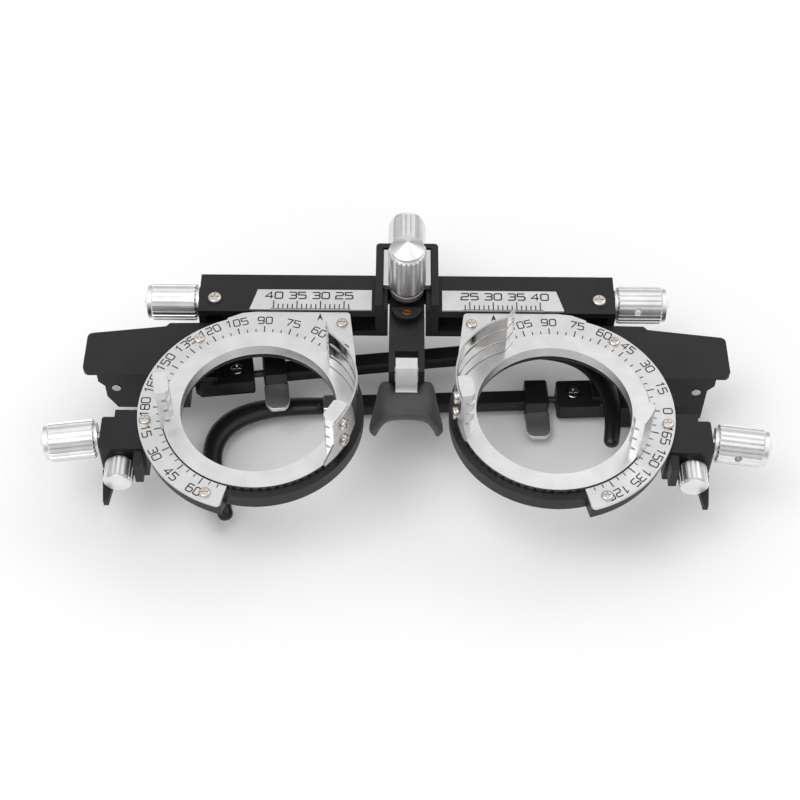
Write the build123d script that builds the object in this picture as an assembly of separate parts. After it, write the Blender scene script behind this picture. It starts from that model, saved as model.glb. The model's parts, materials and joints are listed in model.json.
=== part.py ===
"""Optician's adjustable trial frame, lying face up on its folded temples.

Units are millimetres. +X is the wearer's left, +Y runs up the face and +Z points out of
the dial faces. The geometry is written about a point midway between the two lens rings on
the dial face; place() then moves it so that the origin is the middle of the footprint, on
the surface that the folded temples rest on.
"""
import math
import os

from build123d import *

os.makedirs("parts", exist_ok=True)

# ---- driving dimensions -------------------------------------------------------------
HALF_PD = 30.0            # ring centre to the middle of the frame
Y_MIDDLE = 16.6           # middle of the footprint above the ring centres
REST_DEPTH = 23.6         # dial face above the resting surface
RUN = 0.05                # radial clearance of every running fit

LENS_HOLE_R = 15.85       # aperture behind a 38 mm trial lens
RING_R = 19.6
RING_BACK = 2.3
RING_PROUD = 0.4          # ring face above the dial face
SEAT_R = RING_R + 0.08    # recess that the lens ring turns in
LENS_R = 19.05            # groove that holds a 38 mm trial lens
CROWN_TEETH = 72
CROWN_HEIGHT = 0.8
RIM_NOTCH = 0.35
PINION_TEETH = 8
PINION_TIP_R = 2.25
PINION_ROOT_R = 1.45
PINION_MID_R = 18.0       # ring radius at which the pinion meets the crown teeth
KNOB_ANGLE = -7.7         # direction of the axis knob from the ring centre, degrees
AXIS_DEPTH = 4.7          # axis shaft behind the dial face
SHAFT_R = 1.2

DIAL_R = 24.6
DIAL_HOLE_R = 19.8
DIAL_THICK = 0.8
DIAL_TOP = 25.5
BODY_R = 24.0
BODY_NASAL_R = 21.3
BODY_BACK = 4.1

BAR_HALF = 44.5
BAR_LOW, BAR_HIGH = 25.6, 36.2
BAR_DEEP = 8.0
BAR_WALL = 1.6
PD_SCREW_Y, PD_SCREW_DEPTH, PD_SCREW_R = 31.5, 4.0, 1.5

HOUSE_HALF = 6.75
HOUSE_TOP = 43.2
SLOT_TOP = 41.9           # upper end of the guide for the height slider
HOUSE_FRONT = 2.4
CAVITY_HALF = 4.1
PLATE_BACK = 0.8
HEIGHT_SCREW_DEPTH = 4.2
HEIGHT_SCREW_END = 34.6    # lower end of the height screw
DEPTH_SCREW_Y = 31.0
PAD_FRONT, PAD_SEAT = 6.3, 7.9

ARM_FRONT, ARM_BACK = 3.4, 4.9
PIN_X, PIN_DEPTH, PIN_R = 61.2, 8.0, 0.95
PIVOT_X, TEMPLE_Y = 44.0, 18.5
SIDES = {
    "right": {"sign": 1, "temple_depth": 20.4, "rest_tilt": 2.5, "spring_angle": 189.5,
              "pd_set_screw": 151, "axis_set_screw": 171,
              "hook_tip": (20.8, 27.2)},
    "left": {"sign": -1, "temple_depth": 14.4, "rest_tilt": -7.0, "spring_angle": 210.0,
             "pd_set_screw": -60, "axis_set_screw": -60,
             "hook_tip": (22.8, 26.2)},
}


SET_SCREW_ALONG = 4.9     # grub screw hole from a knob's inner end
SET_SCREW_FLOOR = 2.4     # floor of the hole from the knob's axis
SET_SCREW_R = 0.8


# ---- helpers ------------------------------------------------------------------------
def block(x0, x1, y0, y1, z0, z1):
    """Box between two corners."""
    size = (abs(x1 - x0), abs(y1 - y0), abs(z1 - z0))
    return Pos((x0 + x1) / 2, (y0 + y1) / 2, (z0 + z1) / 2) * Box(*size)


def along(start, direction, shape):
    """Stands a shape that was built along +Z on a point, pointing along a direction."""
    return Plane(origin=start, z_dir=direction).location * shape


def rod(start, direction, radius, length):
    base = Cylinder(radius, length, align=(Align.CENTER, Align.CENTER, Align.MIN))
    return along(start, direction, base)


def plate(outline, z0, z1):
    """Extrudes a flat outline between two heights."""
    return extrude(Pos(0, 0, min(z0, z1)) * outline, abs(z1 - z0))


def shape_of(*points):
    return make_face(Polyline(*points, close=True))


def sector(radius, start, end):
    """Pie slice of a circle between two angles in degrees."""
    steps = 8
    reach = radius * 1.5
    rim = [start + (end - start) * i / steps for i in range(steps + 1)]
    points = [(reach * math.cos(math.radians(a)), reach * math.sin(math.radians(a))) for a in rim]
    return Circle(radius) & shape_of((0, 0), *points)


def star(radius, depth, teeth):
    """Outline of a fluted grip: flat lands with V grooves between them."""
    points = []
    for i in range(teeth):
        for share, level in ((0.0, radius), (0.55, radius), (0.775, radius - depth)):
            angle = math.tau * (i + share) / teeth
            points.append((level * math.cos(angle), level * math.sin(angle)))
    return shape_of(*points)


def knob(radius, length, teeth=24, tip=1.0, nose=0.9):
    """Fluted knob along +Z from its collar, with a smooth shoulder and a shallow cone."""
    collar = 0.6
    grip = length - collar - nose - tip
    bevel = 0.25
    shoulder = radius - 0.45
    low, high = collar, collar + grip
    envelope = revolve(
        Plane.XZ * shape_of(
            (0, low), (radius - bevel, low), (radius, low + bevel),
            (radius, high - bevel), (radius - bevel, high), (0, high),
        ),
        Axis.Z,
    )
    ends = revolve(
        Plane.XZ * shape_of(
            (0, 0), (radius - 0.8, 0), (radius - 0.8, low + 0.3), (shoulder, high - 0.3),
            (shoulder, high + nose), (0.3, length), (0, length),
        ),
        Axis.Z,
    )
    return (plate(star(radius, 0.4, teeth), low, high) & envelope) + ends


def set_screw_hole(middle, direction):
    """Blind hole from a knob's surface inwards, stopping short of the shaft."""
    start = [at + SET_SCREW_FLOOR * part for at, part in zip(middle, direction)]
    return rod(start, direction, SET_SCREW_R, 4)


def pan_screw(head_r, head_high, shank_r, shank_long):
    """Cross-recessed pan-head screw with its head's seat at z = 0."""
    head = Cylinder(head_r, head_high, align=(Align.CENTER, Align.CENTER, Align.MIN))
    head = fillet(head.edges().sort_by(Axis.Z)[-1], head_high * 0.6)
    slot = 0.22 * head_r
    for turn in (0, 90):
        bar = Rot(0, 0, turn) * Box(head_r * 1.25, slot, head_high)
        head -= Pos(0, 0, head_high) * bar
    shank = Cylinder(shank_r, shank_long, align=(Align.CENTER, Align.CENTER, Align.MAX))
    return head + shank


def place(shape):
    return Pos(0, -Y_MIDDLE, REST_DEPTH) * shape


def save(name, shape, side=1):
    """Mirrors a right-hand part for the left side, moves it to its place and writes it."""
    if side < 0:
        shape = mirror(shape, about=Plane.YZ)
    export_step(place(shape), f"parts/{name}.step")


# ---- crossbar and its scales --------------------------------------------------------
SCREW_X, SCREW_Y = 41.1, 29.0


def crossbar():
    bar = block(-BAR_HALF, BAR_HALF, BAR_LOW, BAR_HIGH, -BAR_DEEP, 0)
    long_edges = bar.edges().filter_by(Axis.X).group_by(Axis.Y)[-1]
    bar = fillet(long_edges, 0.5)
    inner = (BAR_LOW, BAR_HIGH - BAR_WALL, -BAR_DEEP + BAR_WALL, -BAR_WALL)
    bar -= block(-BAR_HALF + BAR_WALL, BAR_HALF - BAR_WALL, *inner)
    bar -= block(-HOUSE_HALF, HOUSE_HALF, BAR_LOW, BAR_HIGH, -BAR_DEEP + BAR_WALL, 0)
    bar -= block(-CAVITY_HALF, CAVITY_HALF, BAR_LOW, 34.6, -BAR_DEEP, 0)
    for sign in (-1, 1):
        start = (sign * (BAR_HALF - BAR_WALL), PD_SCREW_Y, -PD_SCREW_DEPTH)
        bar -= rod(start, (sign, 0, 0), PD_SCREW_R + RUN, BAR_WALL)
        bar -= rod((sign * SCREW_X, SCREW_Y, -BAR_WALL), (0, 0, 1), 0.82, BAR_WALL)
    return bar


def pd_scales():
    outline = shape_of((7.45, 25.8), (33.5, 25.8), (32.0, 31.3), (7.45, 31.3))
    right = plate(outline, 0, 0.6)
    return Compound([right, mirror(right, about=Plane.YZ)])


def crossbar_screws():
    screw = pan_screw(1.5, 0.8, 0.8, BAR_WALL)
    return Compound([Pos(sign * SCREW_X, SCREW_Y, 0) * screw for sign in (-1, 1)])


def bridge_housing():
    """Block in the middle of the bar: guides the nose piece and takes the inner screw ends."""
    low = block(-HOUSE_HALF, HOUSE_HALF, BAR_LOW, HOUSE_TOP, -BAR_DEEP + BAR_WALL, HOUSE_FRONT)
    top = block(-HOUSE_HALF, HOUSE_HALF, BAR_HIGH + RUN, HOUSE_TOP, -9.0, HOUSE_FRONT)
    body = low + top
    body -= block(-CAVITY_HALF, CAVITY_HALF, BAR_LOW, HOUSE_TOP - 2, -BAR_DEEP + BAR_WALL, 3)
    body -= block(-5.2, 5.2, BAR_LOW, SLOT_TOP, PLATE_BACK, 3)
    body -= rod((0, HOUSE_TOP - 2, -HEIGHT_SCREW_DEPTH), (0, 1, 0), 1.5 + RUN, 2)
    for sign in (-1, 1):
        start = (sign * 4.95, PD_SCREW_Y, -PD_SCREW_DEPTH)
        body -= rod(start, (sign, 0, 0), PD_SCREW_R + RUN, 2)
    corners = body.edges().filter_by(Axis.Z).group_by(Axis.Y)[-1]
    return fillet(corners, 0.9)


def pd_screw():
    start = (5.1, PD_SCREW_Y, -PD_SCREW_DEPTH)
    return rod(start, (1, 0, 0), PD_SCREW_R, BAR_HALF + 0.3 - 5.1)


def pd_knob(side):
    start = (BAR_HALF + 0.3, PD_SCREW_Y, -PD_SCREW_DEPTH)
    grip = along(start, (1, 0, 0), knob(4.05, 12.0))
    turn = math.radians(side["pd_set_screw"])
    direction = (0, math.cos(turn), math.sin(turn))
    middle = (start[0] + SET_SCREW_ALONG, start[1], start[2])
    return grip - set_screw_hole(middle, direction)


# ---- lens cells ---------------------------------------------------------------------
DIAL_SCREWS = [(-16.3, 22.3), (13.5, 17.8), (22.8, -3.4), (9.3, -20.9)]


def dial_outline():
    """Face plate about its ring centre: temporal arc, flat top and straight nasal edge."""
    arc = sector(DIAL_R, -75, 100)
    top = shape_of(
        (-17.9, DIAL_TOP), (2, DIAL_TOP), (5, 25.1), (8, 23.7), (8, 12), (-12, 8),
        (-19.7, 8), (-19.3, 13.7),
    )
    return arc + top - Circle(DIAL_HOLE_R)


def dial_plate():
    face = plate(dial_outline(), -DIAL_THICK, 0)
    corners = face.edges().filter_by(Axis.Z)
    outer = [e for e in corners if abs(e.center().Y) > 20 and e.center().X < 8]
    face = fillet(outer, 0.9)
    for x, y in DIAL_SCREWS:
        face -= Pos(x, y, 0) * Cylinder(0.75, 4)
    return Pos(HALF_PD, 0, 0) * face


def dial_screws():
    screw = pan_screw(1.2, 0.7, 0.7, 3.2)
    return Compound([Pos(HALF_PD + x, y, 0) * screw for x, y in DIAL_SCREWS])


def pinion_axis():
    angle = math.radians(KNOB_ANGLE)
    return math.cos(angle), math.sin(angle), 0


def on_axis(distance):
    """Point on the axis shaft at a distance from the ring centre."""
    ux, uy, _ = pinion_axis()
    return HALF_PD + distance * ux, distance * uy, -AXIS_DEPTH


def cell_body():
    """Black carrier behind the dial plate: ring seat, rear lip and the nut in the bar."""
    top = shape_of((-17.3, 25.2), (4, 25.2), (8, 22.9), (8, 10), (-17.3, 10))
    outline = Circle(BODY_NASAL_R) + sector(BODY_R, -75, 100) + top
    body = plate(outline, -BODY_BACK, -DIAL_THICK)
    body -= plate(Circle(SEAT_R), -RING_BACK - CROWN_HEIGHT - 0.2, 0)
    body -= plate(Circle(16.4), -BODY_BACK, 0)
    for x, y in DIAL_SCREWS:
        body -= Pos(x, y, -DIAL_THICK) * Cylinder(0.72, 5)
    body = Pos(HALF_PD, 0, 0) * body
    body += block(HALF_PD - 4, HALF_PD + 4, 22, 25.5, -BODY_BACK, -BAR_WALL - 0.15)
    body += block(HALF_PD - 2.5, HALF_PD + 2.5, 25, 33.6, -6.2, -BAR_WALL - 0.15)
    nut_start = (HALF_PD - 3, PD_SCREW_Y, -PD_SCREW_DEPTH)
    body -= rod(nut_start, (1, 0, 0), PD_SCREW_R + RUN, 6)
    body -= rod(on_axis(16), pinion_axis(), SHAFT_R + RUN, 10)
    body -= rod(on_axis(16), pinion_axis(), PINION_TIP_R + 0.35, 3.35)
    return body


def gear_block():
    """Bearing block of the axis shaft, with a stepped corner and a tapered tail below."""
    outer = 61.9
    body = block(52.5, outer, -9.3, 0.4, -11, -1.5)
    body -= block(59.4, outer, -1.4, 0.4, -11, -1.5)
    body += block(53, 54.6, -13, -9.3, -8, -2)
    vertical = body.edges().filter_by(Axis.Z).group_by(Axis.X)[-1]
    body = fillet(vertical, 0.6)
    body -= Pos(HALF_PD, 0, 0) * plate(Circle(BODY_R + 0.02), -BODY_BACK - 0.02, 0)
    body -= rod(on_axis(16), pinion_axis(), SHAFT_R + RUN, 18)
    body -= rod((57.8, -9.3, -5.8), (0, 1, 0), 1.1 + RUN, 3.3)
    tail = shape_of((59.0, -9.3), (61.9, -9.3), (61.0, -16.9), (60.0, -16.9))
    return body + plate(tail, -10.7, -9.1)


def side_arm():
    """Wide black arm beyond the dial, with two lugs behind it for the fold pin."""
    outline = shape_of(
        (36, 12.2), (67.9, 11.8), (67.9, 22.0), (51.5, 24.1), (50.7, 25.0), (36, 25.3),
    )
    arm = plate(outline, -ARM_BACK, -ARM_FRONT)
    tips = arm.edges().filter_by(Axis.Z).group_by(Axis.X)[-1]
    arm = fillet(tips, 1.2)
    edge = PIN_X + 3.6
    lug = shape_of((50, 3.4), (edge, 3.4), (edge, 6), (edge - 6, 13.2), (53, 13.2), (50, 9))
    short = shape_of((56, 3.4), (edge, 3.4), (edge, 6), (edge - 4.6, 11.4), (56, 11.4))
    for outline, low, high in ((lug, 11.0, 12.5), (short, 21.0, 22.2)):
        arm += extrude(Plane.XZ.offset(-low) * mirror(outline, about=Plane.XZ), -(high - low))
    arm -= rod((PIN_X, 10, -PIN_DEPTH), (0, 1, 0), PIN_R + 0.01, 14)
    arm -= Pos(HALF_PD, 0, 0) * plate(Circle(BODY_R + 0.02), -ARM_BACK, 0)
    arm -= block(HALF_PD - 5, HALF_PD + 8.1, 10, 26, -ARM_BACK, -1)
    return arm


def hinge_pin():
    return rod((PIN_X, 10.8, -PIN_DEPTH), (0, 1, 0), PIN_R, 11.6)


# ---- lens ring, claws and spring ----------------------------------------------------
CLAW_HIGH = 12.0
CLAW_IN, CLAW_OUT = 17.1, 20.0
CLAW_HALF = 2.6
GROOVE_MOUTH, GROOVE_FLOOR = 0.85, 0.2    # half widths of a V groove
LENS_LEVELS = (2.8, 6.1, 9.4)
SPRING_R, SPRING_BACK = 20.05, 0.35
SPRING_LEAN, SPRING_KICK = 2.4, 1.3
SPRING_TURNS = (24, 67, 75)
SPRING_SPAN = (0.6, 11.4)
SLIT = 0.35
SPRING_SCREW_Z = (3.4, 8.6)


def lens_ring():
    """Turning ring, with crown teeth on its back that also notch its rim."""
    rim = Rot(0, 0, KNOB_ANGLE) * star(RING_R, RIM_NOTCH, CROWN_TEETH)
    ring = plate(rim - Circle(LENS_HOLE_R), -RING_BACK, 0)
    ring += plate(Circle(RING_R) - Circle(LENS_HOLE_R), 0, RING_PROUD)
    pitch = math.tau * PINION_MID_R / CROWN_TEETH
    half_root, half_tip = 0.22 * pitch, 0.11 * pitch
    tooth = Plane.YZ * shape_of(
        (-half_root, -RING_BACK + 0.1), (half_root, -RING_BACK + 0.1),
        (half_tip, -RING_BACK - CROWN_HEIGHT), (-half_tip, -RING_BACK - CROWN_HEIGHT),
    )
    tooth = Pos(17, 0, 0) * extrude(tooth, RING_R - RIM_NOTCH - 17.1)
    teeth = [Rot(0, 0, KNOB_ANGLE + i * 360 / CROWN_TEETH) * tooth for i in range(CROWN_TEETH)]
    return Pos(HALF_PD, 0, 0) * (ring + teeth)


def claw(angle):
    """Upright post with three grooves for lens rims, standing on the ring at an angle."""
    face = shape_of(
        (CLAW_IN, -1.9), (CLAW_IN + 0.8, -CLAW_HALF), (CLAW_OUT, -CLAW_HALF),
        (CLAW_OUT, CLAW_HALF), (CLAW_IN + 0.8, CLAW_HALF), (CLAW_IN, 1.9),
    )
    post = plate(face & Circle(CLAW_OUT), RING_PROUD, CLAW_HIGH)
    inside = CLAW_IN - 0.2
    for level in LENS_LEVELS:
        groove = Plane.XZ * shape_of(
            (inside, level - GROOVE_MOUTH), (LENS_R, level - GROOVE_FLOOR),
            (LENS_R, level + GROOVE_FLOOR), (inside, level + GROOVE_MOUTH),
        )
        post -= revolve(groove, Axis.Z)
    return Pos(HALF_PD, 0, 0) * Rot(0, 0, angle) * post


def spring_holes(radius):
    starts = [(CLAW_OUT - 0.8, 0, level) for level in SPRING_SCREW_Z]
    return [rod(start, (1, 0, 0), radius, 3) for start in starts]


def lens_claws(angle):
    sprung = Pos(-HALF_PD, 0, 0) * claw(0)
    for hole in spring_holes(0.62):
        sprung -= hole
    sprung = Pos(HALF_PD, 0, 0) * Rot(0, 0, angle) * sprung
    return Compound([sprung, claw(angle + 141)])


def finger_radius(turn):
    """Inner radius of a spring finger: it leans in to a crease and then kicks outwards."""
    root, crease, tip = SPRING_TURNS
    if turn <= crease:
        return SPRING_R - SPRING_LEAN * ((turn - root) / (crease - root)) ** 1.5
    return SPRING_R - SPRING_LEAN + SPRING_KICK * (turn - crease) / (tip - crease)


def finger(low, high):
    """One leaf of the spring, from its root to its kicked-out tip."""
    root, crease, tip = SPRING_TURNS
    turns = [root + (crease - root) * i / 8 for i in range(9)] + [tip]

    def spot(turn, extra):
        angle, radius = math.radians(-turn), finger_radius(turn) + extra
        return radius * math.cos(angle), radius * math.sin(angle)

    inner = [spot(turn, 0) for turn in turns]
    outer = [spot(turn, SPRING_BACK) for turn in turns]
    bend = Spline(*inner[:-1]), Spline(*outer[:-1])
    tip_edges = Polyline(inner[-2], inner[-1], outer[-1], outer[-2])
    root_edge = Line(inner[0], outer[0])
    return plate(make_face([*bend, tip_edges, root_edge]), low, high)


def leaf_spring(angle):
    """Sheet spring from the sprung claw round the ring, slit into three leaves."""
    root = SPRING_TURNS[0]
    low, high = SPRING_SPAN
    band = sector(SPRING_R + SPRING_BACK, -root, 9) - Circle(SPRING_R)
    sheet = plate(band, low, high)
    tail = sector(SPRING_R + SPRING_BACK, 9, 17) - Circle(SPRING_R)
    sheet += plate(tail, low, high) - Pos(SPRING_R, 9.8, high) * Rot(-52, 0, 0) * Box(9, 14, 18)
    leaf = (high - low - 2 * SLIT) / 3
    for i in range(3):
        start = low + i * (leaf + SLIT)
        sheet += finger(start, start + leaf)
    for hole in spring_holes(0.65):
        sheet -= hole
    return Pos(HALF_PD, 0, 0) * Rot(0, 0, angle) * sheet


def spring_screws(angle):
    screw = pan_screw(1.3, 0.7, 0.6, 1.0)
    seat = SPRING_R + SPRING_BACK
    screws = [along((seat, 0, level), (1, 0, 0), screw) for level in SPRING_SCREW_Z]
    return Compound([Pos(HALF_PD, 0, 0) * Rot(0, 0, angle) * item for item in screws])


# ---- axis drive ---------------------------------------------------------------------
def axis_shaft():
    """Shaft with the pinion that meets the crown teeth; a gap faces the ring at rest."""
    half_tooth_root, half_tooth_tip = 0.38, 0.17
    root = PINION_ROOT_R - 0.2
    tooth = shape_of(
        (root, -half_tooth_root), (PINION_TIP_R, -half_tooth_tip),
        (PINION_TIP_R, half_tooth_tip), (root, half_tooth_root),
    )
    profile = Circle(PINION_ROOT_R)
    for i in range(PINION_TEETH):
        profile += Rot(0, 0, (i + 0.5) * 360 / PINION_TEETH) * tooth
    pinion = plate(profile, 0, 1.4)
    shaft = Cylinder(SHAFT_R, 16.6, align=(Align.CENTER, Align.CENTER, Align.MIN))
    frame = Plane(origin=on_axis(PINION_MID_R - 0.7), x_dir=(0, 0, 1), z_dir=pinion_axis())
    return frame.location * (pinion + shaft)


def axis_knob(side):
    body = along(on_axis(33.0), pinion_axis(), knob(4.0, 11.7))
    body -= rod(on_axis(32), pinion_axis(), SHAFT_R + 0.01, 1.9)
    turn = math.radians(side["axis_set_screw"])
    ux, uy, _ = pinion_axis()
    direction = (-uy * math.cos(turn), ux * math.cos(turn), math.sin(turn))
    return body - set_screw_hole(on_axis(33.0 + SET_SCREW_ALONG), direction)


def lock_knob():
    base = (57.8, -9.45, -5.8)
    return along(base, (0, -1, 0), knob(3.0, 5.4, teeth=20, tip=0.1, nose=0.2)) + rod(
        base, (0, 1, 0), 1.1, 3.1
    )


# ---- temples ------------------------------------------------------------------------
SLIDER_AT = 13.0          # slider block from the tilt pivot
BAR_END = 59.5
TONGUE_FRONT = 0.1        # thumb plate behind the temple's middle plane
TEMPLE_ROD_R = 0.8
BLOCK_HALF = 2.6          # half depth of the hinge block
LUG_THICK = 1.6
HOOK_WIDE, HOOK_DEEP = 2.0, 1.2


def temple_frame(side):
    """Place and rest tilt of a temple: x runs from the tilt pivot towards the other side."""
    depth, tilt = side["temple_depth"], side["rest_tilt"]
    return Pos(PIVOT_X, TEMPLE_Y, -depth) * Rot(0, 180, 0) * Rot(0, 0, -tilt)


def knuckle(side):
    """Folding elbow from the pin to the tilt pivot, with the lug the temple tilts on."""
    depth = side["temple_depth"]
    low, high = 12.7, 20.8
    outline = shape_of(
        (PIN_X - 2.9, -PIN_DEPTH), (PIN_X + 2.9, -PIN_DEPTH), (PIN_X + 2.9, -depth + 1),
        (PIN_X + 1, -depth - 2.8), (46.6, -depth - 2.8), (46.6, -depth + 4.3),
        (PIN_X - 2.9, -depth + 4.3),
    )
    elbow = Pos(0, high, 0) * extrude(Plane.XZ * outline, high - low)
    elbow += rod((PIN_X, low, -PIN_DEPTH), (0, 1, 0), 2.9, high - low)
    lug = -depth + BLOCK_HALF + 0.1
    elbow += block(40.4, 47, TEMPLE_Y - 3, high, lug, lug + LUG_THICK)
    elbow += rod((49.5, 20, -depth), (0, 1, 0), 2.6, 1.6)
    elbow -= rod((49.5, 16, -depth), (0, 1, 0), 1.1 + RUN, 6)
    elbow -= rod((PIN_X, 10, -PIN_DEPTH), (0, 1, 0), PIN_R + RUN, 14)
    elbow -= rod((PIVOT_X, TEMPLE_Y, -depth), (0, 0, 1), 1.0 + RUN, 8)
    elbow -= rod((PIVOT_X, TEMPLE_Y, lug + LUG_THICK - 0.85), (0, 0, 1), 1.7, 2)
    return elbow


def tilt_knob(side):
    base = (49.5, 21.8, -side["temple_depth"])
    grip = along(base, (0, 1, 0), knob(3.2, 9.4))
    return grip + rod((base[0], 16.3, base[2]), (0, 1, 0), 1.1, 6)


def hinge_block(side):
    body = block(-1.9, 11, -3.2, 3.2, -BLOCK_HALF, BLOCK_HALF)
    body = chamfer(body.edges().filter_by(Axis.Z).group_by(Axis.X)[0], 1.2)
    body += block(2, 11, -4.1, -3.2, -BLOCK_HALF, 0.8)
    body = chamfer(body.edges().filter_by(Axis.Z).group_by(Axis.X)[-1], 0.4)
    body -= rod((9, 0, 0), (1, 0, 0), TEMPLE_ROD_R + 0.01, 3)
    body -= rod((0, 0, -4), (0, 0, 1), 1.01, 8)
    body -= rod((7.4, 0, -4), (0, 0, 1), 1.01, 3.1)
    body -= rod((7.4, 0, -4), (0, 0, 1), 1.6, 2.2)
    return temple_frame(side) * body


def block_screws(side):
    """Pivot screw sunk in the knuckle's lug, and a clamp screw sunk in the block."""
    pivot = pan_screw(1.6, 0.7, 1.0, 5.4)
    clamp = pan_screw(1.5, 0.7, 1.0, 0.8)
    seat = BLOCK_HALF + 0.1 + LUG_THICK - 0.8
    screws = [
        along((0, 0, -seat), (0, 0, -1), pivot),
        along((7.4, 0, -1.85), (0, 0, -1), clamp),
    ]
    return Compound([temple_frame(side) * screw for screw in screws])


def temple_rod(side):
    return temple_frame(side) * rod((9.1, 0, 0), (1, 0, 0), TEMPLE_ROD_R, 41)


def temple_slider(side):
    """Sliding block and the hollow bar that runs over the temple rod."""
    cube = block(SLIDER_AT, SLIDER_AT + 5, -3.2, 3.2, -3.1, 3.1)
    cube = chamfer(cube.edges().group_by(Axis.X)[0], 0.4)
    bar = block(SLIDER_AT + 5, BAR_END, -1.9, 1.9, -1.5, 1.5)
    bar = fillet(bar.edges().filter_by(Axis.X), 0.5)
    body = cube + bar
    body -= rod((SLIDER_AT - 1, 0, 0), (1, 0, 0), TEMPLE_ROD_R + RUN, 40)
    body -= block(SLIDER_AT + 0.4, SLIDER_AT + 4.6, -4, -1.7, TONGUE_FRONT - 0.02, TONGUE_FRONT + 1.02)
    return temple_frame(side) * body


def slider_tongue(side):
    """Bright thumb plate let into the slider's lower edge, with a rounded end."""
    outline = shape_of(
        (SLIDER_AT + 0.4, -1.75), (SLIDER_AT + 4.6, -1.75), (SLIDER_AT + 4.6, -3.3),
        (SLIDER_AT + 5.2, -3.3), (SLIDER_AT + 5.2, -7.6), (SLIDER_AT - 0.1, -7.6),
        (SLIDER_AT - 0.1, -3.3), (SLIDER_AT + 0.4, -3.3),
    )
    outline += Pos(SLIDER_AT + 2.55, -7.6) * (Circle(2.65) & Rectangle(5.3, 4.6))
    return temple_frame(side) * plate(outline, TONGUE_FRONT, TONGUE_FRONT + 1.0)


def ear_ferrule(side):
    sleeve = block(BAR_END, BAR_END + 2.6, -2.2, 2.2, -1.6, 1.6)
    return temple_frame(side) * fillet(sleeve.edges().filter_by(Axis.X), 0.6)


def ear_hook(side):
    """Plastic ear piece: a rounded bar that bends down behind the ear to a blunt end."""
    start = BAR_END + 2.6
    tip_along, tip_down = side["hook_tip"]
    tip = (start + tip_along, -tip_down)
    path = FilletPolyline((start, 0), (start + 14, 0), (start + 25, -11), tip, radius=8)
    outline = trace(path, 2 * HOOK_WIDE) + Pos(*tip) * Circle(HOOK_WIDE)
    hook = extrude(outline, HOOK_DEEP, both=True)
    rims = hook.edges().group_by(Axis.Z)
    return temple_frame(side) * fillet(rims[0] + rims[-1], HOOK_DEEP - 0.3)


# ---- nose piece ---------------------------------------------------------------------
def height_slider():
    """Bright plate in the housing's front guide, with the nut of the height screw."""
    outline = Pos(0, 36.3) * Rectangle(10.2, 10.2) + Pos(0, DEPTH_SCREW_Y) * Circle(3.6)
    body = plate(outline, PLATE_BACK + 0.05, HOUSE_FRONT)
    body += block(-3.9, 3.9, 37, 40.6, -6.2, PLATE_BACK + 0.05)
    body -= rod((0, 36, -HEIGHT_SCREW_DEPTH), (0, 1, 0), 1.5 + RUN, 6)
    body -= rod((0, DEPTH_SCREW_Y, -1), (0, 0, 1), SHAFT_R + RUN, 5)
    return body


def height_knob():
    base = (0, HOUSE_TOP + 0.2, -HEIGHT_SCREW_DEPTH)
    grip = along(base, (0, 1, 0), knob(4.15, 13.0, tip=1.2))
    return grip + rod(
        (0, HEIGHT_SCREW_END, -HEIGHT_SCREW_DEPTH), (0, 1, 0), 1.5,
        HOUSE_TOP + 0.4 - HEIGHT_SCREW_END,
    )


def depth_knob():
    base = (0, DEPTH_SCREW_Y, HOUSE_FRONT + 0.2)
    grip = along(base, (0, 0, 1), knob(4.0, 13.6, tip=1.9))
    return grip + rod((0, DEPTH_SCREW_Y, -10), (0, 0, 1), SHAFT_R, 13)


def nose_stem():
    """Upright bar that carries the pad: threaded at the top, forked at the bottom."""
    body = block(-3.75, 3.75, 10.5, 32.8, -5.2, -1.2)
    boss = plate(Pos(0, 26.5) * Circle(3.2), -1.2, 0.6) & block(-4, 4, 22, 26.5, -2, 1)
    body += boss
    body -= block(-2.45, 2.45, 10.5, 16, -5.2, -1.2)
    body -= rod((0, DEPTH_SCREW_Y, -6), (0, 0, 1), SHAFT_R + RUN, 6)
    body -= rod((-4, 12.6, -3.2), (1, 0, 0), 0.8, 8)
    body -= rod((0, 25.4, -3), (0, 0, 1), 0.96, 4)
    return fillet(body.edges().filter_by(Axis.Z).group_by(Axis.Y)[0], 0.3)


def stem_screw():
    head = rod((0, 25.4, -1.6), (0, 0, 1), 0.95, 1.9)
    return head - Pos(0, 25.4, 0.3) * Box(1.4, 0.4, 1.0)


def pad_pin():
    return rod((-3.7, 12.6, -3.2), (1, 0, 0), 0.78, 7.4)


def pad_block():
    """Bright tilting block between the fork's prongs, reaching back into the pad."""
    outline = Plane.YZ * shape_of(
        (14.4, -1.4), (14.4, -5.0), (12.2, -PAD_SEAT), (9.4, -PAD_SEAT), (8.9, -6.2),
        (9.9, -5.3), (11.6, -1.4),
    )
    body = extrude(outline, 2.3, both=True)
    return body - rod((-4, 12.6, -3.2), (1, 0, 0), 0.78 + RUN, 8)


def nose_pad():
    """Soft saddle pad: a flared apron with an arch below and a wing folded back each side."""
    right = [
        (4.8, 12.4), (6.0, 11.2), (7.0, 6.6), (8.1, 2.3), (7.7, 1.0), (6.8, 0.7),
        (5.2, 0.9), (3.0, 1.1), (1.2, 1.2),
    ]
    front = shape_of(*right, *[(-x, y) for x, y in reversed(right)])
    fold = [
        (4.2, -PAD_FRONT), (8.2, -9.8), (8.2, -12.4), (6.6, -12.4), (3.6, -9.2),
    ]
    plan = Plane.XZ * shape_of(*fold, *[(-x, z) for x, z in reversed(fold)])
    body = plate(front, -13, -5) & extrude(plan, 14, both=True)
    return body - block(-2.32, 2.32, 8.4, 13, -PAD_SEAT, -5)


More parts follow.
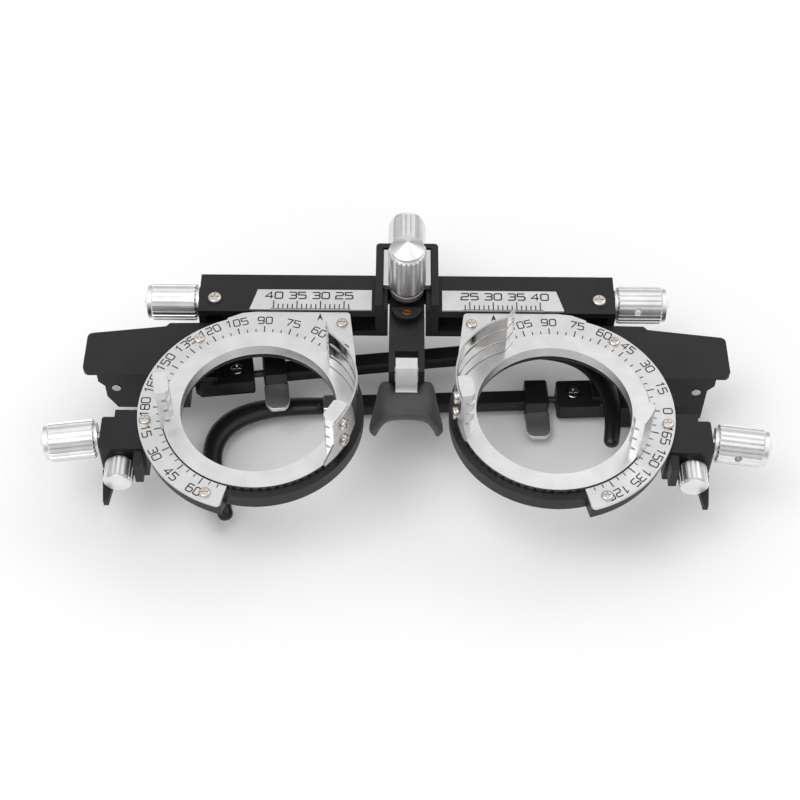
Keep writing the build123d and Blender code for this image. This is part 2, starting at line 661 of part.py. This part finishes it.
# ---- build --------------------------------------------------------------------------
save("crossbar", crossbar())
save("pd_scales", pd_scales())
save("crossbar_screws", crossbar_screws())
save("bridge_housing", bridge_housing())
save("height_slider", height_slider())
save("height_knob", height_knob())
save("depth_knob", depth_knob())
save("nose_stem", nose_stem())
save("stem_screw", stem_screw())
save("pad_pin", pad_pin())
save("pad_block", pad_block())
save("nose_pad", nose_pad())

SAME_BOTH_SIDES = [
    pd_screw, cell_body, dial_plate, dial_screws, gear_block,
    side_arm, hinge_pin, lens_ring, axis_shaft, lock_knob,
]
PER_SIDE = [
    knuckle, tilt_knob, hinge_block, block_screws, temple_rod, temple_slider,
    slider_tongue, ear_ferrule, ear_hook, pd_knob, axis_knob,
]
PER_SPRING_ANGLE = [lens_claws, leaf_spring, spring_screws]

for make in SAME_BOTH_SIDES:
    shape = make()
    for name, side in SIDES.items():
        save(f"{make.__name__}_{name}", shape, side["sign"])
for name, side in SIDES.items():
    for make in PER_SIDE:
        save(f"{make.__name__}_{name}", make(side), side["sign"])
    for make in PER_SPRING_ANGLE:
        save(f"{make.__name__}_{name}", make(side["spring_angle"]), side["sign"])
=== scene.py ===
"""Looks of the adjustable trial frame: materials, inked scales, ear pieces and nose pad.

Works in metres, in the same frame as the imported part. MM turns the part's own millimetre
sizes into metres, and at() turns a point given from the middle of the two lens rings, on the
dial face, into that frame.
"""
import bmesh
import bpy
import json
import math
from mathutils import Matrix, Vector


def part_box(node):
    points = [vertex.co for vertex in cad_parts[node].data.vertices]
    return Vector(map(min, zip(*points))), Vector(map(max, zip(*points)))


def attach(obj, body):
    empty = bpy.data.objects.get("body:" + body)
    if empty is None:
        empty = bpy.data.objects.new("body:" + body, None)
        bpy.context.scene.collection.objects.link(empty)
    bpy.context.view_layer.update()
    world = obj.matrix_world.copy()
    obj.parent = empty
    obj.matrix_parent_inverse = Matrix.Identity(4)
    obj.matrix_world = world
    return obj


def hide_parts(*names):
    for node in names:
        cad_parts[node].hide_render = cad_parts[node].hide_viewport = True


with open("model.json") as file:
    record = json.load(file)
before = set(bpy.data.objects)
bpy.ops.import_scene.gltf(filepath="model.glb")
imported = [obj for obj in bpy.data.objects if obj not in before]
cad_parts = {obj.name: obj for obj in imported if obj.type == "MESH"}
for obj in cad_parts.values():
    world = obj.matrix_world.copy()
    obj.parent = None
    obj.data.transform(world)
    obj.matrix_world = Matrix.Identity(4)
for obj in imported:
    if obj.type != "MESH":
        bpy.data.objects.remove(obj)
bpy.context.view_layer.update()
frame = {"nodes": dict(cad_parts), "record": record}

MM = 0.001
SIDES = {"left": -1, "right": 1}
HALF_PD = 30.0
TEMPLE_DEPTH = {"left": 14.4, "right": 20.4}
TEMPLE_TILT = {"left": -7.0, "right": 2.5}
EAR_START = 62.1          # ear piece from the temple's tilt pivot
HOOK_TIP = {"left": (22.8, -26.2), "right": (20.8, -27.2)}
PIVOT = (44.0, 18.5)

dial_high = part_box("dial_plate_right")[1]
ring_low, ring_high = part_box("lens_ring_right")
DIAL_FACE = dial_high.z
RING_Y = (ring_low.y + ring_high.y) / 2


def at(x, y, z):
    """Point in metres from millimetres measured from between the ring centres."""
    return Vector((x * MM, y * MM + RING_Y, z * MM + DIAL_FACE))


# ---- materials ----------------------------------------------------------------------
def new_material(name):
    mat = bpy.data.materials.new(name)
    mat.use_nodes = True
    tree = mat.node_tree
    shader = tree.nodes["Principled BSDF"]
    return mat, tree, shader


def add(tree, kind, **inputs):
    node = tree.nodes.new(kind)
    for key, value in inputs.items():
        node.inputs[key.replace("_", " ")].default_value = value
    return node


def coords(tree, stretch=(1, 1, 1)):
    """Object coordinates, optionally stretched to turn noise into a brushed grain."""
    where = tree.nodes.new("ShaderNodeTexCoord")
    mapping = tree.nodes.new("ShaderNodeMapping")
    mapping.inputs["Scale"].default_value = stretch
    tree.links.new(where.outputs["Object"], mapping.inputs["Vector"])
    return mapping.outputs["Vector"]


def noise(tree, scale, detail=3.0, stretch=(1, 1, 1)):
    node = add(tree, "ShaderNodeTexNoise", Scale=scale, Detail=detail)
    tree.links.new(coords(tree, stretch), node.inputs["Vector"])
    return node.outputs["Fac"]


def ramp(tree, source, low, high, start=0.35, end=0.65):
    """Colour ramp between two colours over a stretch of a grey value."""
    node = tree.nodes.new("ShaderNodeValToRGB")
    node.color_ramp.elements[0].position = start
    node.color_ramp.elements[0].color = (*low, 1)
    node.color_ramp.elements[1].position = end
    node.color_ramp.elements[1].color = (*high, 1)
    tree.links.new(source, node.inputs["Fac"])
    return node.outputs["Color"]


def span(tree, source, low, high):
    node = add(tree, "ShaderNodeMapRange", To_Min=low, To_Max=high)
    tree.links.new(source, node.inputs["Value"])
    return node.outputs["Result"]


def bump(tree, shader, source, strength, distance):
    node = add(tree, "ShaderNodeBump", Strength=strength, Distance=distance)
    tree.links.new(source, node.inputs["Height"])
    tree.links.new(node.outputs["Normal"], shader.inputs["Normal"])


def metal(name, dark, light, rough, grain, stretch=(1, 1, 1), depth=0.00001, strength=0.25):
    """Bare metal: slightly mottled colour, uneven roughness and a fine surface grain."""
    mat, tree, shader = new_material(name)
    shader.inputs["Metallic"].default_value = 1.0
    cloud = noise(tree, 260, 4)
    tree.links.new(ramp(tree, cloud, dark, light), shader.inputs["Base Color"])
    fine = noise(tree, grain, 5, stretch)
    tree.links.new(span(tree, fine, rough[0], rough[1]), shader.inputs["Roughness"])
    bump(tree, shader, fine, strength, depth)
    return mat


def paint(name, dark, light, rough, gloss=0.3, speck=2600):
    """Satin coating: faint colour drift and a fine orange-peel surface."""
    mat, tree, shader = new_material(name)
    drift = noise(tree, 90, 5)
    tree.links.new(ramp(tree, drift, dark, light), shader.inputs["Base Color"])
    shader.inputs["Specular IOR Level"].default_value = gloss
    peel = noise(tree, speck, 3)
    tree.links.new(span(tree, peel, rough[0], rough[1]), shader.inputs["Roughness"])
    bump(tree, shader, peel, 0.25, 0.00002)
    return mat


def plastic(name, dark, light, rough, strength=0.2, specks=1800, sheen=0.0):
    mat, tree, shader = new_material(name)
    tree.links.new(ramp(tree, noise(tree, 240, 5), dark, light), shader.inputs["Base Color"])
    peel = noise(tree, specks, 4)
    tree.links.new(span(tree, peel, rough[0], rough[1]), shader.inputs["Roughness"])
    shader.inputs["Sheen Weight"].default_value = sheen
    bump(tree, shader, peel, strength, 0.00003)
    return mat


MATERIALS = {
    "black_paint": paint(
        "black_paint", (0.010, 0.010, 0.011), (0.015, 0.015, 0.016), (0.34, 0.48)),
    "scale_aluminium": metal(
        "scale_aluminium", (0.66, 0.66, 0.66), (0.72, 0.72, 0.72), (0.42, 0.54), 5200),
    "satin_aluminium": metal(
        "satin_aluminium", (0.70, 0.70, 0.71), (0.78, 0.78, 0.79), (0.28, 0.40), 3800),
    "knob_aluminium": metal(
        "knob_aluminium", (0.80, 0.79, 0.79), (0.88, 0.87, 0.87), (0.30, 0.42), 4200),
    "screw_steel": metal(
        "screw_steel", (0.58, 0.53, 0.49), (0.74, 0.70, 0.65), (0.14, 0.26), 3000),
    "rod_black": paint(
        "rod_black", (0.018, 0.018, 0.019), (0.030, 0.030, 0.031), (0.28, 0.40), 0.5),
    "spring_steel": metal(
        "spring_steel", (0.46, 0.45, 0.44), (0.62, 0.61, 0.59), (0.05, 0.14), 2600, (1, 1, 10)),
    "brass_screw": metal(
        "brass_screw", (0.34, 0.12, 0.045), (0.50, 0.21, 0.08), (0.25, 0.42), 3000),
    "black_plastic": paint(
        "black_plastic", (0.008, 0.008, 0.009), (0.013, 0.013, 0.014), (0.26, 0.38), 0.4),
    "grey_rubber": plastic(
        "grey_rubber", (0.050, 0.050, 0.053), (0.068, 0.068, 0.071), (0.46, 0.6), 0.3, 2400, 0.15),
}


def ink():
    mat, tree, shader = new_material("engraving_ink")
    tree.links.new(ramp(tree, noise(tree, 1500, 4), (0.006, 0.006, 0.007), (0.016, 0.016, 0.017)),
                   shader.inputs["Base Color"])
    tree.links.new(span(tree, noise(tree, 3000, 2), 0.5, 0.7), shader.inputs["Roughness"])
    return mat


INK = ink()


def dress(obj, slot):
    obj.data.materials.clear()
    obj.data.materials.append(MATERIALS[slot])


# ---- carried-over CAD nodes ---------------------------------------------------------
def refine(obj, width):
    """Rounds the machined edges of a CAD node with modifiers, leaving its mesh alone."""
    weld = obj.modifiers.new("weld", "WELD")
    weld.merge_threshold = 1e-6
    flat = obj.modifiers.new("flat", "DECIMATE")
    flat.decimate_type = "DISSOLVE"
    flat.angle_limit = math.radians(0.5)
    edge = obj.modifiers.new("edge", "BEVEL")
    edge.width = width
    edge.segments = 2
    edge.limit_method = "ANGLE"
    edge.angle_limit = math.radians(32)
    edge.use_clamp_overlap = True
    obj.modifiers.new("normals", "WEIGHTED_NORMAL").keep_sharp = False


SOFT_EDGE = {
    "crossbar": 0.35, "bridge_housing": 0.3, "side_arm": 0.18, "gear_block": 0.3, "knuckle": 0.3,
    "hinge_block": 0.25, "temple_slider": 0.2, "nose_stem": 0.22, "height_slider": 0.15,
    "cell_body": 0.15, "dial_plate": 0.12, "pd_scales": 0.1, "lens_ring": 0.1, "lens_claws": 0.18,
    "leaf_spring": 0.04, "slider_tongue": 0.2, "ear_ferrule": 0.15, "pad_block": 0.25,
}
record_slot = {part["node"]: part["material_slot"] for part in frame["record"]["subparts"]}
for node, obj in frame["nodes"].items():
    dress(obj, record_slot[node])
    kind = node.removesuffix("_left").removesuffix("_right")
    if kind.endswith(("_knob", "_screw", "_screws")):
        continue
    for poly in obj.data.polygons:
        poly.use_smooth = True
    if "custom_normal" in obj.data.attributes:
        obj.data.attributes.remove(obj.data.attributes["custom_normal"])
    refine(obj, SOFT_EDGE.get(kind, 0.06) * MM)


# ---- mesh helpers -------------------------------------------------------------------
def mesh_object(name, bm, material, smooth=False):
    mesh = bpy.data.meshes.new(name)
    bmesh.ops.recalc_face_normals(bm, faces=bm.faces)
    bm.to_mesh(mesh)
    bm.free()
    for poly in mesh.polygons:
        poly.use_smooth = smooth
    obj = bpy.data.objects.new(name, mesh)
    bpy.context.scene.collection.objects.link(obj)
    mesh.materials.append(material)
    return obj


def prism(bm, outline, place, low, high):
    """Closed prism over a 2-D outline; place() turns (x, y, z) in mm into a point."""
    base = [bm.verts.new(place(x, y, low)) for x, y in outline]
    top = [bm.verts.new(place(x, y, high)) for x, y in outline]
    count = len(outline)
    for i in range(count):
        j = (i + 1) % count
        bm.faces.new((base[i], base[j], top[j], top[i]))
    bm.faces.new(top)
    bm.faces.new(reversed(base))


def stroke(bm, points, width, place, low, high):
    """Inked line of one width with mitred corners, as a thin closed strip."""
    closed = points[0] == points[-1]
    spots = [Vector(p) for p in (points[:-1] if closed else points)]
    count = len(spots)
    rows = []
    for i, spot in enumerate(spots):
        before = spots[i - 1] if (closed or i > 0) else None
        after = spots[(i + 1) % count] if (closed or i < count - 1) else None
        ways = [w.normalized() for w in (
            (spot - before) if before is not None else None,
            (after - spot) if after is not None else None) if w is not None]
        sides = [Vector((-w.y, w.x)) for w in ways]
        mitre = sum(sides, Vector((0, 0))).normalized()
        reach = min(width / 2 / max(mitre.dot(sides[0]), 0.4), width)
        rows.append((spot + mitre * reach, spot - mitre * reach))
    rings = []
    for left, right in rows:
        rings.append([bm.verts.new(place(p.x, p.y, z)) for p, z in
                      ((left, low), (right, low), (right, high), (left, high))])
    for i in range(count if closed else count - 1):
        a, b = rings[i], rings[(i + 1) % count]
        for k in range(4):
            bm.faces.new((a[k], a[(k + 1) % 4], b[(k + 1) % 4], b[k]))
    if not closed:
        bm.faces.new(rings[0])
        bm.faces.new(reversed(rings[-1]))


# ---- inked scales -------------------------------------------------------------------
INK_LOW, INK_HIGH = -0.03, 0.03
ROUND = 0.16
GLYPHS = {
    "0": [[(ROUND, 0), (1 - ROUND, 0), (1, 0.12), (1, 0.88), (1 - ROUND, 1), (ROUND, 1), (0, 0.88),
           (0, 0.12), (ROUND, 0)]],
    "1": [[(0.2, 0.78), (0.62, 1), (0.62, 0)]],
    "2": [[(0, 1), (1 - ROUND, 1), (1, 0.88), (1, 0.63), (1 - ROUND, 0.51), (ROUND, 0.49),
           (0, 0.37), (0, 0), (1, 0)]],
    "3": [[(0, 1), (1 - ROUND, 1), (1, 0.88), (1, 0.64), (0.84, 0.52), (1, 0.40), (1, 0.12),
           (1 - ROUND, 0), (0, 0)], [(0.25, 0.52), (0.84, 0.52)]],
    "4": [[(0.76, 0), (0.76, 1), (0, 0.3), (1, 0.3)]],
    "5": [[(0.97, 1), (0, 1), (0, 0.57), (1 - ROUND, 0.57), (1, 0.45), (1, 0.12),
           (1 - ROUND, 0), (0, 0)]],
    "6": [[(0.95, 1), (ROUND, 1), (0, 0.88), (0, 0.12), (ROUND, 0), (1 - ROUND, 0), (1, 0.12),
           (1, 0.45), (1 - ROUND, 0.57), (0, 0.57)]],
    "7": [[(0, 1), (1, 1), (0.38, 0)]],
    "8": [[(0.1, 0.53), (0, 0.64), (0, 0.88), (ROUND, 1), (1 - ROUND, 1), (1, 0.88), (1, 0.64),
           (0.9, 0.53), (0.1, 0.53)],
          [(0.1, 0.53), (0.9, 0.53), (1, 0.42), (1, 0.12), (1 - ROUND, 0), (ROUND, 0), (0, 0.12),
           (0, 0.42), (0.1, 0.53)]],
    "9": [[(0.05, 0), (1 - ROUND, 0), (1, 0.12), (1, 0.88), (1 - ROUND, 1), (ROUND, 1), (0, 0.88),
           (0, 0.55), (ROUND, 0.43), (1, 0.43)]],
}


def turned(cx, cy, angle, z):
    """place() for marks drawn about a point and turned by an angle in degrees."""
    c, s = math.cos(math.radians(angle)), math.sin(math.radians(angle))
    return lambda x, y, dz: at(cx + c * x - s * y, cy + s * x + c * y, z + dz)


def number(bm, text, cx, cy, angle, height, z, wide_share=0.72, width=0.25):
    wide, gap = height * wide_share, height * 0.26
    total = len(text) * wide + (len(text) - 1) * gap
    for i, digit in enumerate(text):
        left = -total / 2 + i * (wide + gap)
        place = turned(cx, cy, angle, z)
        for line in GLYPHS[digit]:
            points = [(left + px * wide, (py - 0.5) * height) for px, py in line]
            stroke(bm, points, width, place, INK_LOW, INK_HIGH)


def tick(bm, cx, cy, angle, near, far, width, z):
    stroke(bm, [(near, 0), (far, 0)], width, turned(cx, cy, angle, z), INK_LOW, INK_HIGH)


def dial_marks(name, sign):
    """Degree marks every 5 degrees and numbers every 15, and the arrow of the PD scale."""
    bm = bmesh.new()
    cx, radius = sign * HALF_PD, 23.1
    first, last = (-70, 125) if sign > 0 else (55, 250)
    for angle in range(first, last + 1, 5):
        major = angle % 15 == 0
        tick(bm, cx, 0, angle, 19.95, 21.5 if major else 20.75, 0.24 if major else 0.2, 0)
    first_number, last_number = (-60, 120) if sign > 0 else (45, 240)
    for angle in range(first_number, last_number + 1, 15):
        label = 180 if angle == 180 else angle % 180
        inward = angle > 180
        x = cx + radius * math.cos(math.radians(angle))
        y = radius * math.sin(math.radians(angle))
        number(bm, str(label), x, y, angle + (90 if inward else -90), 1.75, 0)
    arrow = [(0, 0), (0.62, -2.0), (0, -1.35), (-0.62, -2.0)]
    prism(bm, arrow, turned(sign * 18.4, 25.2, 0, 0), INK_LOW, INK_HIGH)
    marks = mesh_object(f"dial_marks_{name}", bm, INK)
    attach(marks, f"cell_{name}")


def pd_marks():
    """Millimetre marks of the pupillary-distance scales, numbered every 5."""
    plate_high = 0.6
    bm = bmesh.new()
    for sign in (-1, 1):
        for value in range(24, 41):
            x = sign * (value - 11.6)
            high = 2.3 if value % 5 == 0 else 1.4
            stroke(bm, [(x, 25.95), (x, 25.8 + high)], 0.24, turned(0, 0, 0, plate_high),
                   INK_LOW, INK_HIGH)
            if value % 5 == 0:
                number(bm, str(value), x, 29.6, 0, 1.75, plate_high, 0.9, 0.3)
        baseline = [(sign * 12.0, 25.93), (sign * 29.0, 25.93)]
        stroke(bm, baseline, 0.12, turned(0, 0, 0, plate_high), INK_LOW, INK_HIGH)
    marks = mesh_object("pd_scale_marks", bm, INK)
    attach(marks, "frame")


# ---- temples ------------------------------------------------------------------------
def temple_place(name, sign):
    """Turns a point along a temple, from its tilt pivot, into the frame."""
    tilt = math.radians(TEMPLE_TILT[name])
    c, s = math.cos(tilt), math.sin(tilt)

    def place(x, y, z):
        along, up = c * x + s * y, -s * x + c * y
        return at(sign * (PIVOT[0] - along), PIVOT[1] + up, z - TEMPLE_DEPTH[name])
    return place


def ear_hook(name, sign):
    """Smooth plastic ear piece: flattened bar that thickens towards its rounded end."""
    start = EAR_START
    tip_along, tip_up = HOOK_TIP[name]
    controls = [(start, 0), (start + 8, 0.2), (start + 15, -0.4), (start + 21.8, -4.2),
                (start + 24.8, -11.5), (start + tip_along + 2.2, -19), (start + tip_along, tip_up)]
    place = temple_place(name, sign)
    curve = bpy.data.curves.new("route", "CURVE")
    curve.dimensions = "3D"
    spline = curve.splines.new("NURBS")
    spline.points.add(len(controls) - 1)
    for point, (x, y) in zip(spline.points, controls):
        point.co = (x, y, 0, 1)
    spline.order_u = 4
    spline.use_endpoint_u = True
    curve.resolution_u = 10
    holder = bpy.data.objects.new("route", curve)
    bpy.context.scene.collection.objects.link(holder)
    path = bpy.data.meshes.new_from_object(holder)
    line = [v.co.copy() for v in path.vertices]
    bpy.data.objects.remove(holder)
    bpy.data.meshes.remove(path)
    bpy.data.curves.remove(curve)
    bm = bmesh.new()
    around, count = 20, len(line)
    rings = []
    taper_from = 0.75
    for i, spot in enumerate(line):
        way = (line[min(i + 1, count - 1)] - line[max(i - 1, 0)]).normalized()
        side = Vector((-way.y, way.x, 0))
        share = i / (count - 1)
        swell = math.sin(math.pi * min(share, taper_from) / taper_from)
        taper = max(0, share - taper_from) / (1 - taper_from)
        half_wide = 2.1 + 0.5 * swell - 0.45 * taper
        rings.append((spot, way, side, half_wide))
    dome = [(0.30, 0.97), (0.62, 0.84), (0.86, 0.60), (0.97, 0.30)]
    spot, way, side, half_wide = rings[-1]
    for ahead, size in dome:
        rings.append((spot + way * half_wide * ahead, way, side, half_wide * size))
    loops = []
    for spot, way, side, half_wide in rings:
        half_deep = min(1.4, 0.72 * half_wide)
        loop = []
        for k in range(around):
            turn = math.tau * k / around
            p = spot + side * half_wide * math.cos(turn)
            loop.append(bm.verts.new(place(p.x, p.y, half_deep * math.sin(turn))))
        loops.append(loop)
    for a, b in zip(loops, loops[1:]):
        for k in range(around):
            j = (k + 1) % around
            bm.faces.new((a[k], a[j], b[j], b[k]))
    bm.faces.new(loops[0])
    bm.faces.new(reversed(loops[-1]))
    hook = mesh_object(f"ear_hook_grip_{name}", bm, MATERIALS["black_plastic"], smooth=True)
    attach(hook, f"ear_piece_{name}")
    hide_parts(f"ear_hook_{name}")


# ---- nose pad -----------------------------------------------------------------------
PAD_ROWS = (0, 0.08, 0.2, 0.28, 0.33, 0.5, 0.7, 0.88, 1)
PAD_COLUMNS = (0, 0.36, 0.42, 0.6, 0.8, 0.94, 1)
PAD_TOP, PAD_FRONT, PAD_SEAT, PAD_THICK = 12.4, 6.3, 7.9, 2.3


def pad_width(share):
    """Half width of the pad from its top edge (0) to its lower tips (1)."""
    corners = ((0, 5.0), (0.08, 6.0), (0.28, 6.4), (0.5, 6.9), (0.88, 8.1), (1, 7.9))
    for (a, wide_a), (b, wide_b) in zip(corners, corners[1:]):
        if share <= b:
            return wide_a + (wide_b - wide_a) * (share - a) / (b - a)


def pad_spot(row, column, sign, back):
    """Point on the pad's front or back skin, as x, y and z in mm."""
    x = column * pad_width(row)
    arch = 3.2 - 2.5 * column ** 2
    y = PAD_TOP + row * (arch - PAD_TOP)
    fold = max(0.0, x - 4.1)
    z = -PAD_FRONT - 0.12 * fold - 0.19 * fold ** 2
    if back:
        x -= 0.42 * fold
        z -= PAD_THICK
    elif column <= 0.36 and row <= 0.28:
        z = -PAD_SEAT
    return sign * x, y, z


def nose_pad():
    """Moulded rubber saddle: a slot for its block, an arch below and a wing each side."""
    columns = [(-1, c) for c in reversed(PAD_COLUMNS[1:])] + [(1, c) for c in PAD_COLUMNS]
    bm = bmesh.new()
    skins = []
    for back in (False, True):
        skins.append([[bm.verts.new(at(*pad_spot(row, column, sign, back)))
                       for sign, column in columns] for row in PAD_ROWS])
    for skin in skins:
        for above, below in zip(skin, skin[1:]):
            for k in range(len(columns) - 1):
                bm.faces.new((above[k], above[k + 1], below[k + 1], below[k]))
    front, rear = skins
    for row in (0, -1):
        for k in range(len(columns) - 1):
            bm.faces.new((front[row][k], front[row][k + 1], rear[row][k + 1], rear[row][k]))
    for k in (0, -1):
        for row in range(len(PAD_ROWS) - 1):
            bm.faces.new((front[row][k], front[row + 1][k], rear[row + 1][k], rear[row][k]))
    pad = mesh_object("nose_pad_saddle", bm, MATERIALS["grey_rubber"], smooth=True)
    soft = pad.modifiers.new("soft", "SUBSURF")
    soft.levels = soft.render_levels = 2
    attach(pad, "nose_pad")
    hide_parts("nose_pad")


# ---- stage, light and camera --------------------------------------------------------
def area_light(name, where, aim, size, power):
    data = bpy.data.lights.new(name, "AREA")
    data.shape = "RECTANGLE"
    data.size, data.size_y = size
    data.energy = power
    lamp = bpy.data.objects.new(name, data)
    bpy.context.scene.collection.objects.link(lamp)
    lamp.location = where
    lamp.rotation_euler = (Vector(aim) - Vector(where)).to_track_quat("-Z", "Y").to_euler()


def sky():
    """Soft studio dome: white overhead, greyer towards the horizon to model the metal."""
    world = bpy.data.worlds.new("studio")
    bpy.context.scene.world = world
    world.use_nodes = True
    tree = world.node_tree
    where = tree.nodes.new("ShaderNodeTexCoord")
    split = tree.nodes.new("ShaderNodeSeparateXYZ")
    tree.links.new(where.outputs["Generated"], split.inputs["Vector"])
    dome = tree.nodes.new("ShaderNodeValToRGB")
    stops = dome.color_ramp.elements
    stops[0].position, stops[0].color = 0.0, (0.16, 0.16, 0.165, 1)
    stops[1].position, stops[1].color = 0.75, (0.98, 0.98, 0.98, 1)
    middle = stops.new(0.30)
    middle.color = (0.42, 0.42, 0.42, 1)
    tree.links.new(split.outputs["Z"], dome.inputs["Fac"])
    tree.links.new(dome.outputs["Color"], tree.nodes["Background"].inputs["Color"])
    tree.nodes["Background"].inputs["Strength"].default_value = 1.0


def stage():
    bm = bmesh.new()
    half = 3.0
    for x, y in ((-half, -half), (half, -half), (half, half), (-half, half)):
        bm.verts.new((x, y, -0.0002))
    bm.faces.new(bm.verts)
    mat, tree, shader = new_material("pale_floor")
    tree.links.new(ramp(tree, noise(tree, 6, 3), (0.92, 0.92, 0.92), (0.95, 0.95, 0.95)),
                   shader.inputs["Base Color"])
    shader.inputs["Roughness"].default_value = 0.8
    floor = mesh_object("floor", bm, mat)
    sky()
    area_light("key", (-0.30, -0.20, 0.80), (0, 0, 0), (0.5, 0.5), 2.0)
    area_light("fill", (0.45, 0.25, 0.60), (0, 0, 0), (0.5, 0.5), 0.7)
    bpy.context.scene.view_settings.view_transform = "Standard"


def camera():
    """Product shot from the chin side, 53 degrees above the dial plane."""
    elevation = math.radians(53.13)
    distance = 0.325
    back = Vector((0, -math.cos(elevation), math.sin(elevation)))
    up = Vector((0, math.sin(elevation), math.cos(elevation)))
    aim = at(-1.32, 0, 0) + up * 1.83 * MM
    data = bpy.data.cameras.new("camera")
    data.lens = 72
    data.sensor_width = 36
    data.clip_start = 0.01
    cam = bpy.data.objects.new("camera", data)
    bpy.context.scene.collection.objects.link(cam)
    right = Vector((1, 0, 0))
    roll = math.radians(0.45)
    turned_right = right * math.cos(roll) + up * math.sin(roll)
    up = up * math.cos(roll) - right * math.sin(roll)
    right = turned_right
    pose = Matrix((right, up, back)).transposed().to_4x4()
    pose.translation = aim + back * distance
    cam.matrix_world = pose
    bpy.context.scene.camera = cam


# ---- build --------------------------------------------------------------------------
camera()
stage()
pd_marks()
for name, sign in SIDES.items():
    dial_marks(name, sign)
    ear_hook(name, sign)
nose_pad()
